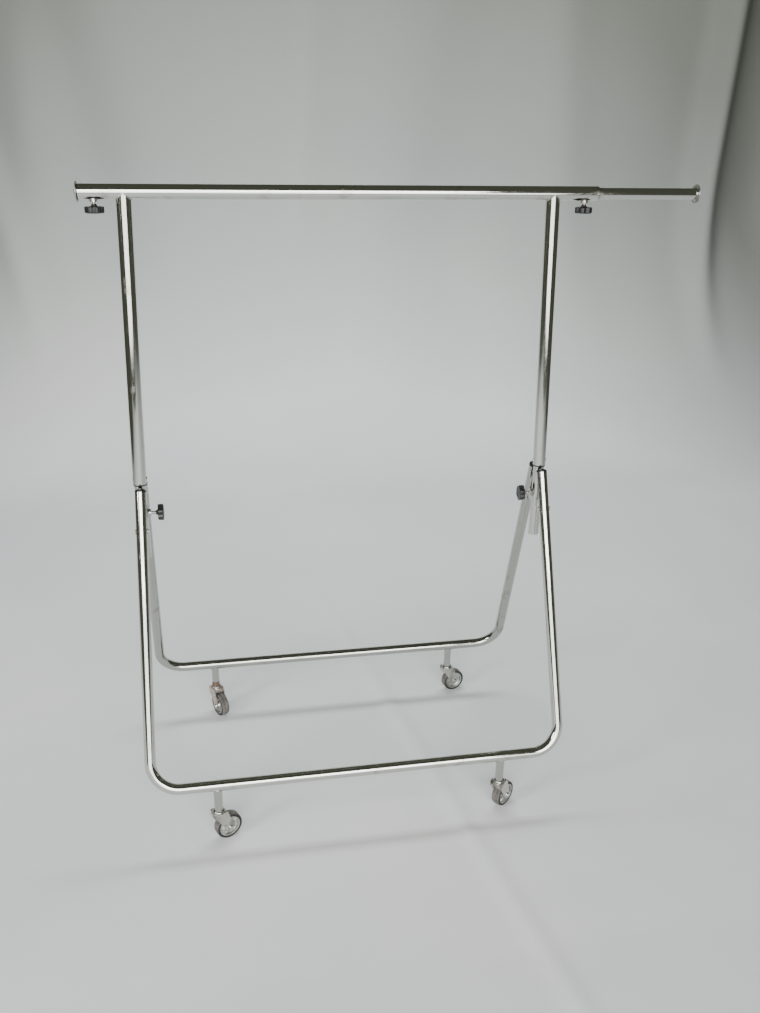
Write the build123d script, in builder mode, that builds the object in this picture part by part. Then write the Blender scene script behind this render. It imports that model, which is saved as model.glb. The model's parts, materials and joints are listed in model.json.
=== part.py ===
from build123d import *
import os
from math import acos, atan2, cos, degrees, radians, sin, tan

# Folding, rolling garment rail: a welded top frame whose inner slide tubes run in two clamp
# posts, two U-shaped leg frames that hinge on the posts, pull-out rail ends and four casters.
# Origin on the floor, midway between the posts. X runs along the rail, Y points to the rear
# leg frame, Z points up. All sizes in millimetres.

# ---- tubes -----------------------------------------------------------------------------
rail_od = 32.0
rail_wall = 1.2
upright_od = 32.0
upright_wall = 1.2
extension_od = 25.4
extension_wall = 1.2
post_od = 27.0
post_wall = 1.5
leg_od = 27.0
leg_wall = 1.5
slide_tube_wall = 1.5
slide_clearance = 0.08          # radial, slide tube in post and extension tube in liner

# ---- top frame -------------------------------------------------------------------------
rail_height = 1510.0            # floor to rail axis
upright_spacing = 958.0         # between the upright axes where they meet the rail
rail_overhang_left = 92.5       # from the upright axis to the rail's end
rail_overhang_right = 107.0
post_spacing = 1000.0           # between the two posts
bush_flange = 3.5               # thickness of the collar under each upright
bush_proud = 0.5                # how far that collar stands inside the upright's outside
bush_depth = 14.0
slide_tube_insert = 62.0        # length of slide tube held inside the upright
rivet_d = 5.0
rivet_head_d = 8.0
rivet_head_height = 1.6
rivet_height = 12.0             # above the upright's lower end

# ---- rail extensions -------------------------------------------------------------------
extension_length = 450.0
extension_out_right = 244.0     # how far the right extension is pulled out; the left is in
liner_depth = 20.0
liner_flange = 1.5
guide_length = 16.0
guide_clearance = 0.3           # radial, guide in the rail's bore
disc_d = 43.0
disc_thickness = 3.0
disc_spigot = 15.0
end_screw_d = 6.0
end_screw_length = 22.0
end_screw_head_d = 12.0
end_screw_head_height = 4.5

# ---- clamp screws ----------------------------------------------------------------------
stud_d = 8.0
thread_clearance = 0.06         # radial, stud in its welded nut
wall_hole_clearance = 0.3       # radial, stud in the tube wall and gap at the stud's tip
knob_d = 41.0
knob_thickness = 13.0
knob_neck_height = 6.0
knob_neck_d = 10.5
knob_foot_d = 17.0
knob_lobes = 6
knob_scallop_d = 17.0
knob_scallop_pitch_d = 51.0
knob_fillet = 2.2
knob_stud_depth = 9.0           # length of stud moulded into the knob body
rail_nut_d = 16.0
rail_nut_height = 4.5
rail_stud_gap = 4.5             # visible stud between nut and knob
rail_knob_inset = 30.0          # from the rail's end
post_nut_d = 18.0
post_nut_height = 7.0
post_stud_gap = 11.0
post_knob_above_pivot = 23.0

# ---- posts and leg hinges ---------------------------------------------------------------
post_above_pivot = 96.0
post_below_pivot = 94.0
slide_tube_lift = 5.0           # slide tube's lower end above the post's lower end
lug_thickness = 10.0
lug_end_r = 10.0
lug_side_clearance = 0.5
pivot_pin_d = 8.0
pivot_clearance = 0.08          # radial, pin in lug
pin_head_d = 12.0
pin_head_height = 1.6
pin_washer_height = 1.0
pin_upset_d = 10.5              # riveted-over end on the washer
pin_upset_height = 1.4

# ---- leg frames --------------------------------------------------------------------------
leg_angle = 20.2                # each frame's lean from vertical when spread
leg_fold = 16.0                 # how far each frame folds in until the casters meet
leg_above_pivot = 94.0
leg_below_pivot = 626.5
foot_spacing = 1028.0           # between the leg axes at the foot rail
foot_bend_r = 70.0
plug_flange = 3.0
plug_dome = 5.5
plug_depth = 18.0
stop_gap = 0.3                  # between a leg's plug and the post when spread

# ---- casters -----------------------------------------------------------------------------
caster_spacing = 715.0
socket_d = 21.0
socket_length = 57.5            # below the foot rail
stem_d = 11.0
stem_in_socket = 40.0
stem_clearance = 0.06           # radial, stem in the fork's crown
stem_fit = 0.02                 # radial, stem pressed in its socket
race_d = 30.0
race_height = 5.0
race_gap = 0.5
crown_d = 34.0
crown_height = 14.0
rivet_gap = 0.5
stem_head_d = 18.0
stem_head_height = 3.0
wheel_d = 68.0
wheel_width = 24.0
tyre_thickness = 7.0
tyre_edge_r = 4.0
hub_width = 22.0
hub_web = 8.0
hub_boss_d = 22.0
hub_boss_width = 25.4
hub_rim = 3.5
axle_d = 8.0
axle_clearance = 0.06           # radial, hub on axle
axle_head_d = 13.0
axle_head_height = 3.5
trail = 22.0                    # from the swivel axis to the axle
fork_gap = 27.0
fork_wall = 2.5
fork_boss_r = 10.0
fork_top_length = 32.0
fork_top_height = 10.0
# direction of each wheel's trail from +X, counter-clockwise seen from above
caster_angles = {"front_left": 26.0, "front_right": 38.0, "rear_left": -62.0, "rear_right": 15.0}

# ---- worked out --------------------------------------------------------------------------
rail_r = rail_od / 2
rail_bore_r = rail_r - rail_wall
upright_r = upright_od / 2
upright_bore_r = upright_r - upright_wall
extension_r = extension_od / 2
extension_bore_r = extension_r - extension_wall
post_r = post_od / 2
post_bore_r = post_r - post_wall
slide_tube_r = post_bore_r - slide_clearance
leg_r = leg_od / 2
leg_bore_r = leg_r - leg_wall
stud_r = stud_d / 2
pin_r = pivot_pin_d / 2
stem_r = stem_d / 2
axle_r = axle_d / 2
wheel_r = wheel_d / 2
hub_r = wheel_r - tyre_thickness

lean = radians(leg_angle)
half_post = post_spacing / 2
caster_height = wheel_d + race_height + race_gap + crown_height + stem_head_height + rivet_gap
foot_rail_height = caster_height + socket_length + leg_r
pivot_height = foot_rail_height + leg_below_pivot * cos(lean)
pivot_offset = post_r + stop_gap + leg_r * cos(lean) + (leg_above_pivot + plug_flange) * sin(lean)
foot_rail_offset = pivot_offset + leg_below_pivot * sin(lean)
leg_slope = (foot_spacing / 2 - half_post) / leg_below_pivot
leg_top_x = half_post - leg_slope * leg_above_pivot
leg_splay = atan2(foot_spacing / 2 - half_post, leg_below_pivot)
pin_seat = leg_r / cos(leg_splay) + pin_head_d / 2 * tan(leg_splay)

post_top = pivot_height + post_above_pivot
post_bottom = pivot_height - post_below_pivot
upright_bottom = post_top + bush_flange + wall_hole_clearance
slide_tube_bottom = post_bottom + slide_tube_lift
slide_tube_top = upright_bottom + slide_tube_insert
post_knob_height = pivot_height + post_knob_above_pivot
upright_lean = atan2(half_post - upright_spacing / 2, rail_height - upright_bottom)
rivet_seat = upright_r / cos(upright_lean) + rivet_head_d / 2 * tan(upright_lean)

rail_left = -upright_spacing / 2 - rail_overhang_left
rail_right = upright_spacing / 2 + rail_overhang_right
race_bottom = caster_height - race_height
crown_top = race_bottom - race_gap
crown_bottom = crown_top - crown_height

os.makedirs("parts", exist_ok=True)


def save(builder, name):
    builder.part.label = name
    export_step(builder.part, f"parts/{name}.step")


def side_view(base):
    """Plane that holds base's Z axis, for profiles turned about that axis."""
    return Plane(origin=base.origin, x_dir=base.x_dir, z_dir=-base.y_dir)


def turn_axis(base):
    return Axis(base.origin, base.z_dir)


def dome_arc(foot_r, foot_height, rise):
    """Half of a shallow dome's profile, from its foot to its top on the turning axis."""
    ball_r = (foot_r * foot_r + rise * rise) / (2 * rise)
    start = degrees(acos(foot_r / ball_r))
    CenterArc((0, foot_height + rise - ball_r), ball_r, start, 90 - start)


# ---- top frame -----------------------------------------------------------------------------
rail_start = Plane(origin=(rail_left, 0, rail_height), x_dir=(0, 1, 0), z_dir=(1, 0, 0))
rail_length = rail_right - rail_left
rail_ends = {"left": (-1, rail_left), "right": (1, rail_right)}


def rail_end_plane(side):
    """Plane across a rail mouth: Z points out of the rail, X points up."""
    sign, x_end = rail_ends[side]
    return Plane(origin=(x_end, 0, rail_height), x_dir=(0, 0, 1), z_dir=(sign, 0, 0))


def rail_knob_x(side):
    sign, x_end = rail_ends[side]
    return x_end - sign * rail_knob_inset


def make_hang_rail():
    with BuildPart() as rail:
        with BuildSketch(rail_start):
            Circle(rail_r)
            Circle(rail_bore_r, mode=Mode.SUBTRACT)
        extrude(amount=rail_length)
        for side in rail_ends:
            with BuildSketch(Plane((rail_knob_x(side), 0, rail_height))):
                Circle(stud_r + wall_hole_clearance)
            extrude(amount=-rail_od, mode=Mode.SUBTRACT)
    save(rail, "hang_rail")


def make_upright(side, sign):
    """Tube from the rail down to its flat lower end, coped to the rail at the top."""
    foot = Plane(
        origin=(sign * half_post, 0, upright_bottom),
        x_dir=(0, 1, 0),
        z_dir=(-sign * sin(upright_lean), 0, cos(upright_lean)),
    )
    length = (rail_height - upright_bottom) / cos(upright_lean)
    with BuildPart() as upright:
        with BuildSketch(foot.offset(-upright_od)):
            Circle(upright_r)
            Circle(upright_bore_r, mode=Mode.SUBTRACT)
        extrude(amount=length + upright_od)
        split(bisect_by=Plane.XY.offset(upright_bottom), keep=Keep.TOP)
        with BuildSketch(rail_start):
            Circle(rail_r)
        extrude(amount=rail_length, mode=Mode.SUBTRACT)
        with BuildSketch(rivet_plane(sign)):
            Circle(rivet_d / 2)
        extrude(amount=-upright_r, mode=Mode.SUBTRACT)
        with BuildSketch(rivet_plane(-sign, sign)):
            Circle(rivet_d / 2)
        extrude(amount=-upright_r, mode=Mode.SUBTRACT)
    save(upright, f"upright_{side}")


def rivet_plane(sign, post_sign=None):
    """Plane at the outside of an upright, Z pointing away from the post axis."""
    post_sign = sign if post_sign is None else post_sign
    x_face = post_sign * (half_post - rivet_height * tan(upright_lean)) + sign * rivet_seat
    return Plane(
        origin=(x_face, 0, upright_bottom + rivet_height), x_dir=(0, 1, 0), z_dir=(sign, 0, 0)
    )


def make_slide_tube(side, sign):
    axis_foot = Plane((sign * half_post, 0, slide_tube_bottom))
    with BuildPart() as tube:
        with BuildSketch(axis_foot):
            Circle(slide_tube_r)
            Circle(slide_tube_r - slide_tube_wall, mode=Mode.SUBTRACT)
        extrude(amount=slide_tube_top - slide_tube_bottom)
        for face in (1, -1):
            with BuildSketch(rivet_plane(face * sign, sign)):
                Circle(rivet_d / 2)
            extrude(amount=-upright_r, mode=Mode.SUBTRACT)
    save(tube, f"slide_tube_{side}")


def make_slide_tube_bushes():
    """Collars that close the gap between upright and slide tube."""
    with BuildPart() as bushes:
        for sign in (-1, 1):
            top = Plane((sign * half_post, 0, upright_bottom))
            spigot_r = upright_bore_r - bush_depth * tan(upright_lean) - slide_clearance
            with BuildSketch(top):
                Circle(spigot_r)
                Circle(slide_tube_r, mode=Mode.SUBTRACT)
            extrude(amount=rivet_height - rivet_d)
            with BuildSketch(top):
                Circle(upright_r - bush_proud)
                Circle(slide_tube_r, mode=Mode.SUBTRACT)
            extrude(amount=-bush_flange)
    save(bushes, "slide_tube_bushes")


def make_slide_tube_rivets():
    grip = upright_r - slide_tube_r + slide_tube_wall
    with BuildPart() as rivets:
        for post_sign in (-1, 1):
            for face in (1, -1):
                seat = rivet_plane(face * post_sign, post_sign)
                with BuildSketch(seat):
                    Circle(rivet_head_d / 2)
                extrude(amount=rivet_head_height, taper=25)
                with BuildSketch(seat):
                    Circle(rivet_d / 2)
                extrude(amount=-grip)
    save(rivets, "slide_tube_rivets")


def make_rail_nuts():
    """Round nuts welded under the rail for the clamp screws."""
    with BuildPart() as nuts:
        for side in rail_ends:
            under = Plane((rail_knob_x(side), 0, rail_height - rail_r - rail_nut_height))
            with BuildSketch(under):
                Circle(rail_nut_d / 2)
                Circle(stud_r + thread_clearance, mode=Mode.SUBTRACT)
            extrude(amount=rail_nut_height + rail_r)
        with BuildSketch(rail_start):
            Circle(rail_r)
        extrude(amount=rail_length, mode=Mode.SUBTRACT)
    save(nuts, "rail_nuts")


def make_rail_liners():
    """Plastic rings pressed into the rail's mouths, in which the extensions slide."""
    with BuildPart() as liners:
        for side in rail_ends:
            mouth = rail_end_plane(side)
            with BuildSketch(mouth.offset(-liner_depth)):
                Circle(rail_bore_r)
                Circle(extension_r + slide_clearance, mode=Mode.SUBTRACT)
            extrude(amount=liner_depth)
            with BuildSketch(mouth):
                Circle(rail_r - bush_proud)
                Circle(extension_r + slide_clearance, mode=Mode.SUBTRACT)
            extrude(amount=liner_flange)
    save(liners, "rail_liners")


# ---- rail extensions -------------------------------------------------------------------------
def disc_plane(side):
    """Plane of an end disc's inner face at rest."""
    out = extension_out_right if side == "right" else 0.0
    return rail_end_plane(side).offset(liner_flange + out)


def make_extension_tube(side):
    with BuildPart() as tube:
        with BuildSketch(disc_plane(side)):
            Circle(extension_r)
            Circle(extension_bore_r, mode=Mode.SUBTRACT)
        extrude(amount=-extension_length)
    save(tube, f"extension_tube_{side}")


def make_extension_guide(side):
    """Plastic ring on the extension's inner end; it runs in the rail's bore."""
    with BuildPart() as guide:
        with BuildSketch(disc_plane(side).offset(-extension_length)):
            Circle(rail_bore_r - guide_clearance)
            Circle(extension_r, mode=Mode.SUBTRACT)
        extrude(amount=guide_length)
    save(guide, f"extension_guide_{side}")


def make_end_disc(side):
    face = disc_plane(side)
    with BuildPart() as disc:
        with BuildSketch(face):
            Circle(disc_d / 2)
        extrude(amount=disc_thickness)
        fillet(disc.edges().filter_by(GeomType.CIRCLE), disc_thickness * 0.45)
        with BuildSketch(face):
            Circle(extension_bore_r)
        extrude(amount=-disc_spigot)
        with BuildSketch(face.offset(disc_thickness)):
            Circle(end_screw_d / 2)
        extrude(amount=-(disc_thickness + disc_spigot), mode=Mode.SUBTRACT)
    save(disc, f"end_disc_{side}")


def make_end_screw(side):
    seat = disc_plane(side).offset(disc_thickness)
    with BuildPart() as screw:
        with BuildSketch(side_view(seat)):
            with BuildLine():
                Polyline(
                    (0, end_screw_head_height),
                    (0, disc_thickness - end_screw_length),
                    (end_screw_d / 2, disc_thickness - end_screw_length),
                    (end_screw_d / 2, 0),
                    (end_screw_head_d / 2, 0),
                )
                dome_arc(end_screw_head_d / 2, 0, end_screw_head_height)
            make_face()
        revolve(axis=turn_axis(seat))
    save(screw, f"end_screw_{side}")


# ---- clamp screws ----------------------------------------------------------------------------
def rail_clamp_plane(side):
    """Foot of a rail clamp screw: origin at the nut's outer face, Z pointing to the knob."""
    return Plane(
        origin=(rail_knob_x(side), 0, rail_height - rail_r - rail_nut_height),
        x_dir=(1, 0, 0),
        z_dir=(0, 0, -1),
    )


def post_clamp_plane(sign):
    """Foot of a post clamp screw, on the post's inboard side."""
    return Plane(
        origin=(sign * (half_post - post_r - post_nut_height), 0, post_knob_height),
        x_dir=(0, 0, 1),
        z_dir=(-sign, 0, 0),
    )


def make_knob(foot, stud_gap, name):
    """Lobed plastic knob with a conical neck."""
    neck = foot.offset(stud_gap)
    body = neck.offset(knob_neck_height)
    with BuildPart() as knob:
        with BuildSketch(body) as outline:
            Circle(knob_d / 2)
            with PolarLocations(knob_scallop_pitch_d / 2, knob_lobes):
                Circle(knob_scallop_d / 2, mode=Mode.SUBTRACT)
            fillet(outline.vertices(), knob_fillet)
        extrude(amount=knob_thickness)
        ends = knob.faces().filter_by(Axis(foot.origin, foot.z_dir))
        fillet(ends.edges(), knob_fillet)
        with BuildSketch(neck):
            Circle(knob_neck_d / 2)
        with BuildSketch(body):
            Circle(knob_foot_d / 2)
        loft()
        with BuildSketch(neck):
            Circle(stud_r)
        extrude(amount=knob_neck_height + knob_stud_depth, mode=Mode.SUBTRACT)
    save(knob, name)


def make_stud(foot, grip, stud_gap, name):
    """Threaded stud: grip is its length behind the nut's outer face."""
    with BuildPart() as stud:
        with BuildSketch(foot.offset(-grip)):
            Circle(stud_r)
        extrude(amount=grip + stud_gap + knob_neck_height + knob_stud_depth)
        chamfer(stud.edges().filter_by(GeomType.CIRCLE), stud_r / 5)
    save(stud, name)


# ---- posts and leg hinges ----------------------------------------------------------------------
def make_post(side, sign):
    with BuildPart() as post:
        with BuildSketch(Plane((sign * half_post, 0, post_bottom))):
            Circle(post_r)
            Circle(post_bore_r, mode=Mode.SUBTRACT)
        extrude(amount=post_top - post_bottom)
        with BuildSketch(post_clamp_plane(sign)):
            Circle(stud_r + wall_hole_clearance)
        extrude(amount=-(post_nut_height + post_r), mode=Mode.SUBTRACT)
    save(post, f"post_{side}")


def make_post_nuts():
    with BuildPart() as nuts:
        for sign in (-1, 1):
            with BuildSketch(post_clamp_plane(sign)):
                Circle(post_nut_d / 2)
                Circle(stud_r + thread_clearance, mode=Mode.SUBTRACT)
            extrude(amount=-(post_nut_height + post_r))
        for sign in (-1, 1):
            with BuildSketch(Plane((sign * half_post, 0, post_bottom))):
                Circle(post_r)
            extrude(amount=post_top - post_bottom, mode=Mode.SUBTRACT)
    save(nuts, "post_nuts")


def make_hinge_lugs(side, sign):
    """Front and rear tongues welded to a post; each reaches into its leg's slot."""
    with BuildPart() as lugs:
        mid = Plane(
            origin=(sign * half_post, 0, pivot_height), x_dir=(0, 1, 0), z_dir=(1, 0, 0)
        )
        with BuildSketch(mid):
            for end in (-1, 1):
                with Locations((end * pivot_offset / 2, 0)):
                    Rectangle(pivot_offset, 2 * lug_end_r)
                with Locations((end * pivot_offset, 0)):
                    Circle(lug_end_r)
            with Locations((-pivot_offset, 0), (pivot_offset, 0)):
                Circle(pin_r + pivot_clearance, mode=Mode.SUBTRACT)
        extrude(amount=lug_thickness / 2, both=True)
        with BuildSketch(Plane((sign * half_post, 0, post_bottom))):
            Circle(post_r)
        extrude(amount=post_top - post_bottom, mode=Mode.SUBTRACT)
    save(lugs, f"hinge_lugs_{side}")


# ---- leg frames ----------------------------------------------------------------------------------
leg_ends = {"front": -1, "rear": 1}


def frame_plane(end):
    """Plane of a leg frame: origin midway between its pivots, Y up along the legs."""
    return Plane(
        origin=(0, end * pivot_offset, pivot_height),
        x_dir=(1, 0, 0),
        z_dir=(0, -cos(lean), -end * sin(lean)),
    )


def frame_path(end):
    with BuildLine(frame_plane(end)) as path:
        FilletPolyline(
            (-leg_top_x, leg_above_pivot),
            (-foot_spacing / 2, -leg_below_pivot),
            (foot_spacing / 2, -leg_below_pivot),
            (leg_top_x, leg_above_pivot),
            radius=foot_bend_r,
        )
    return path.wires()[0]


def leg_top_plane(end, sign):
    """Plane across a leg's open top, Z pointing out of the tube."""
    frame = frame_plane(end)
    up = frame.y_dir - frame.x_dir * (sign * leg_slope)
    top = frame.from_local_coords(Vector(sign * leg_top_x, leg_above_pivot, 0))
    return Plane(origin=top, x_dir=frame.z_dir, z_dir=up)


def pivot_plane(end, sign, shift=0.0):
    """Plane across a pivot pin, Z pointing outboard."""
    return Plane(
        origin=(sign * (half_post + shift), end * pivot_offset, pivot_height),
        x_dir=(0, 1, 0),
        z_dir=(sign, 0, 0),
    )


def slot_plane(end, sign):
    """Plane along a leg's axis at its pivot, Z pointing to the post and Y up the leg."""
    return Plane(
        origin=(sign * half_post, end * pivot_offset, pivot_height),
        x_dir=(end, 0, 0),
        z_dir=(0, -end * cos(lean), -sin(lean)),
    )


def make_leg_frame(end_name, end):
    """One bent tube with slots for the hinge lugs and cross holes for the pivot pins."""
    path = frame_path(end)
    reach = lug_end_r / cos(lean) + leg_r * tan(lean) + lug_side_clearance
    folded = radians(leg_angle - leg_fold)
    drop = max(lug_end_r, lug_end_r / cos(folded)) + lug_side_clearance
    with BuildPart() as frame:
        with BuildSketch(Plane(origin=path @ 0, z_dir=path % 0)):
            Circle(leg_r)
            Circle(leg_bore_r, mode=Mode.SUBTRACT)
        sweep(path=path)
        for sign in (-1, 1):
            with BuildSketch(slot_plane(end, sign)):
                with Locations((0, (reach - drop) / 2)):
                    Rectangle(lug_thickness + 2 * lug_side_clearance, reach + drop)
            extrude(amount=leg_od, mode=Mode.SUBTRACT)
            with BuildSketch(pivot_plane(end, sign)):
                Circle(pin_r)
            extrude(amount=leg_od, both=True, mode=Mode.SUBTRACT)
    save(frame, f"{end_name}_leg_frame")


def make_leg_plugs(end_name, end):
    """Plastic plugs in the leg tops; their collars rest against the post when spread."""
    with BuildPart() as plugs:
        for sign in (-1, 1):
            top = leg_top_plane(end, sign)
            with BuildSketch(side_view(top)):
                with BuildLine():
                    Polyline(
                        (0, plug_flange + plug_dome),
                        (0, -plug_depth),
                        (leg_bore_r, -plug_depth),
                        (leg_bore_r, 0),
                        (leg_r, 0),
                        (leg_r, plug_flange),
                    )
                    dome_arc(leg_r, plug_flange, plug_dome)
                make_face()
            revolve(axis=turn_axis(top))
    save(plugs, f"{end_name}_leg_plugs")


def make_pivot_pins(end_name, end):
    """Low-headed rivets that each leg turns on with the lug."""
    with BuildPart() as pins:
        for sign in (-1, 1):
            seat = pivot_plane(end, sign, pin_seat)
            with BuildSketch(seat):
                Circle(pin_head_d / 2)
            extrude(amount=pin_head_height, taper=30)
            with BuildSketch(seat):
                Circle(pin_r)
            extrude(amount=-(2 * pin_seat + pin_washer_height))
            with BuildSketch(pivot_plane(end, sign, -pin_seat - pin_washer_height)):
                Circle(pin_upset_d / 2)
            extrude(amount=-pin_upset_height, taper=30)
    save(pins, f"{end_name}_pivot_pins")


def make_pivot_washers(end_name, end):
    with BuildPart() as washers:
        for sign in (-1, 1):
            with BuildSketch(pivot_plane(end, sign, -pin_seat)):
                Circle(pin_head_d / 2)
                Circle(pin_r, mode=Mode.SUBTRACT)
            extrude(amount=-pin_washer_height)
    save(washers, f"{end_name}_pivot_washers")


def make_caster_sockets(end_name, end):
    """Tubes welded upright under the foot rail, coped to it, that hold the caster stems."""
    with BuildPart() as sockets:
        for sign in (-1, 1):
            foot = Plane((sign * caster_spacing / 2, end * foot_rail_offset, caster_height))
            with BuildSketch(foot):
                Circle(socket_d / 2)
            extrude(amount=socket_length + leg_r)
            with BuildSketch(foot):
                Circle(stem_r + stem_fit)
            extrude(amount=stem_in_socket + 1, mode=Mode.SUBTRACT)
        across = Plane(
            origin=(0, end * foot_rail_offset, foot_rail_height), x_dir=(0, 1, 0), z_dir=(1, 0, 0)
        )
        with BuildSketch(across):
            Circle(leg_r)
        extrude(amount=caster_spacing, both=True, mode=Mode.SUBTRACT)
    save(sockets, f"{end_name}_caster_sockets")


# ---- casters -----------------------------------------------------------------------------------
def caster_plane(name):
    """Floor plane under a swivel axis, X pointing along the wheel's trail."""
    end_name, side = name.split("_")
    sign = -1 if side == "left" else 1
    angle = radians(caster_angles[name])
    return Plane(
        origin=(sign * caster_spacing / 2, leg_ends[end_name] * foot_rail_offset, 0),
        x_dir=(cos(angle), sin(angle), 0),
        z_dir=(0, 0, 1),
    )


def axle_plane(name):
    """Plane through the wheel's middle, Z along the axle, Y up."""
    base = caster_plane(name)
    hub = base.from_local_coords(Vector(trail, 0, wheel_r))
    return Plane(origin=hub, x_dir=base.x_dir, z_dir=-base.y_dir)


def make_caster_stem(name):
    """Stem with its race cap above the fork and its riveted head below."""
    base = caster_plane(name)
    head_top = crown_bottom - rivet_gap
    with BuildPart() as stem:
        with BuildSketch(side_view(base)):
            with BuildLine():
                Polyline(
                    (0, head_top - stem_head_height),
                    (stem_head_d / 2, head_top - stem_head_height),
                    (stem_head_d / 2, head_top),
                    (stem_r, head_top),
                    (stem_r, race_bottom),
                    (race_d / 2, race_bottom),
                    (race_d / 2 - 1.5, race_bottom + race_height * 0.6),
                    (race_d / 2 - 5, race_bottom + race_height),
                    (stem_r, race_bottom + race_height),
                    (stem_r, race_bottom + race_height + stem_in_socket),
                    (0, race_bottom + race_height + stem_in_socket),
                    close=True,
                )
            make_face()
        revolve(axis=turn_axis(base))
    save(stem, f"{name}_caster_stem")


def make_caster_fork(name):
    """Crown round the stem and two cheeks that reach down to the axle."""
    base = caster_plane(name)
    mid = axle_plane(name)
    crown_y = crown_top - wheel_r - fork_top_height / 2
    with BuildPart() as fork:
        with BuildSketch(base.offset(crown_bottom)):
            Circle(crown_d / 2)
        extrude(amount=crown_height)
        fillet(fork.faces().sort_by(Axis.Z)[-1].edges(), 4)
        for start in (fork_gap / 2, -fork_gap / 2 - fork_wall):
            with BuildSketch(mid.offset(start)):
                with Locations((-trail, crown_y)):
                    Rectangle(fork_top_length, fork_top_height)
                Circle(fork_boss_r)
                make_hull()
            extrude(amount=fork_wall)
        with BuildSketch(base.offset(crown_bottom)):
            Rectangle(fork_top_length, fork_gap + 2 * fork_wall)
        extrude(amount=fork_top_height - 4)
        with BuildSketch(base.offset(crown_bottom)):
            Circle(stem_r + stem_clearance)
        extrude(amount=crown_height, mode=Mode.SUBTRACT)
        with BuildSketch(mid):
            Circle(axle_r)
        extrude(amount=fork_gap, both=True, mode=Mode.SUBTRACT)
    save(fork, f"{name}_caster_fork")


def make_caster_axle(name):
    outside = fork_gap / 2 + fork_wall
    with BuildPart() as axle:
        with BuildSketch(axle_plane(name)):
            Circle(axle_r)
        extrude(amount=outside, both=True)
        for direction in (1, -1):
            with BuildSketch(axle_plane(name).offset(direction * outside)):
                Circle(axle_head_d / 2)
            extrude(amount=direction * axle_head_height, taper=20)
    save(axle, f"{name}_caster_axle")


def make_wheel_hub(name):
    """Turned wheel centre: axle boss, thin web and rim."""
    mid = axle_plane(name)
    with BuildPart() as hub:
        with BuildSketch(side_view(mid)):
            with BuildLine():
                Polyline(
                    (axle_r + axle_clearance, 0),
                    (axle_r + axle_clearance, hub_boss_width / 2),
                    (hub_boss_d / 2 - 1, hub_boss_width / 2),
                    (hub_boss_d / 2, hub_boss_width / 2 - 1),
                    (hub_boss_d / 2 + 1.5, hub_web / 2),
                    (hub_r - hub_rim - 1.5, hub_web / 2),
                    (hub_r - hub_rim, hub_width / 2),
                    (hub_r, hub_width / 2),
                    (hub_r, 0),
                    close=True,
                )
            make_face()
            mirror(about=Plane.XZ)
        revolve(axis=turn_axis(mid))
    save(hub, f"{name}_wheel_hub")


def make_wheel_tyre(name):
    mid = axle_plane(name)
    with BuildPart() as tyre:
        with BuildSketch(mid.offset(-wheel_width / 2)):
            Circle(wheel_r)
            Circle(hub_r, mode=Mode.SUBTRACT)
        extrude(amount=wheel_width)
        outer = tyre.edges().filter_by(GeomType.CIRCLE).sort_by(SortBy.RADIUS)[-2:]
        fillet(outer, tyre_edge_r)
    save(tyre, f"{name}_wheel_tyre")


# ---- build everything ------------------------------------------------------------------------------
make_hang_rail()
make_slide_tube_bushes()
make_slide_tube_rivets()
make_rail_nuts()
make_rail_liners()
make_post_nuts()

rail_grip = rail_nut_height + rail_r - extension_r - wall_hole_clearance
post_grip = post_nut_height + post_r - slide_tube_r - wall_hole_clearance

for side, (sign, x_end) in rail_ends.items():
    make_upright(side, sign)
    make_slide_tube(side, sign)
    make_extension_tube(side)
    make_extension_guide(side)
    make_end_disc(side)
    make_end_screw(side)
    make_knob(rail_clamp_plane(side), rail_stud_gap, f"rail_knob_{side}")
    make_stud(rail_clamp_plane(side), rail_grip, rail_stud_gap, f"rail_stud_{side}")
    make_knob(post_clamp_plane(sign), post_stud_gap, f"post_knob_{side}")
    make_stud(post_clamp_plane(sign), post_grip, post_stud_gap, f"post_stud_{side}")
    make_post(side, sign)
    make_hinge_lugs(side, sign)

for end_name, end in leg_ends.items():
    make_leg_frame(end_name, end)
    make_leg_plugs(end_name, end)
    make_pivot_pins(end_name, end)
    make_pivot_washers(end_name, end)
    make_caster_sockets(end_name, end)

for name in caster_angles:
    make_caster_stem(name)
    make_caster_fork(name)
    make_caster_axle(name)
    make_wheel_hub(name)
    make_wheel_tyre(name)

print(f"pivot height {pivot_height:.1f}, foot rail {foot_rail_height:.1f}, "
      f"half base {foot_rail_offset:.1f}, caster height {caster_height:.1f}")
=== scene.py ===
"""Folding chrome garment rack on casters, standing on a pale cloth in soft daylight."""
import json
import math
import random

import bmesh
import bpy
from mathutils import Matrix, Vector


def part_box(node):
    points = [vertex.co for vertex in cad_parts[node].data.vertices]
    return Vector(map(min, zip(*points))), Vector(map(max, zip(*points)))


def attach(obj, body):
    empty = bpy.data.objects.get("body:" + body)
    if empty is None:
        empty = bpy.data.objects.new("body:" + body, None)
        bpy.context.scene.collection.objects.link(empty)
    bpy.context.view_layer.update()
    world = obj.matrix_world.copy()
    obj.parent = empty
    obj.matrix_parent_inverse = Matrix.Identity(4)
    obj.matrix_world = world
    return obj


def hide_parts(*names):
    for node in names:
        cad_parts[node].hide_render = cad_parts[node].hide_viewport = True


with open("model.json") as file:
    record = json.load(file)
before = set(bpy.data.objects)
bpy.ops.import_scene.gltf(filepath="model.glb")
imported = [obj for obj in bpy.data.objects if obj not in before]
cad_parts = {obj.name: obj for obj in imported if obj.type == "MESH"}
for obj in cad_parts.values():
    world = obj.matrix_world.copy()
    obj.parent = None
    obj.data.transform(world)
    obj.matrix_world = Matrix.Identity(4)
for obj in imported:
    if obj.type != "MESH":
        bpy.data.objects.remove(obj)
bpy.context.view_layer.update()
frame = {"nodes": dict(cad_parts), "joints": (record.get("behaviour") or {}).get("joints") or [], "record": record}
nodes = frame["nodes"]
random.seed(11)

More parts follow.
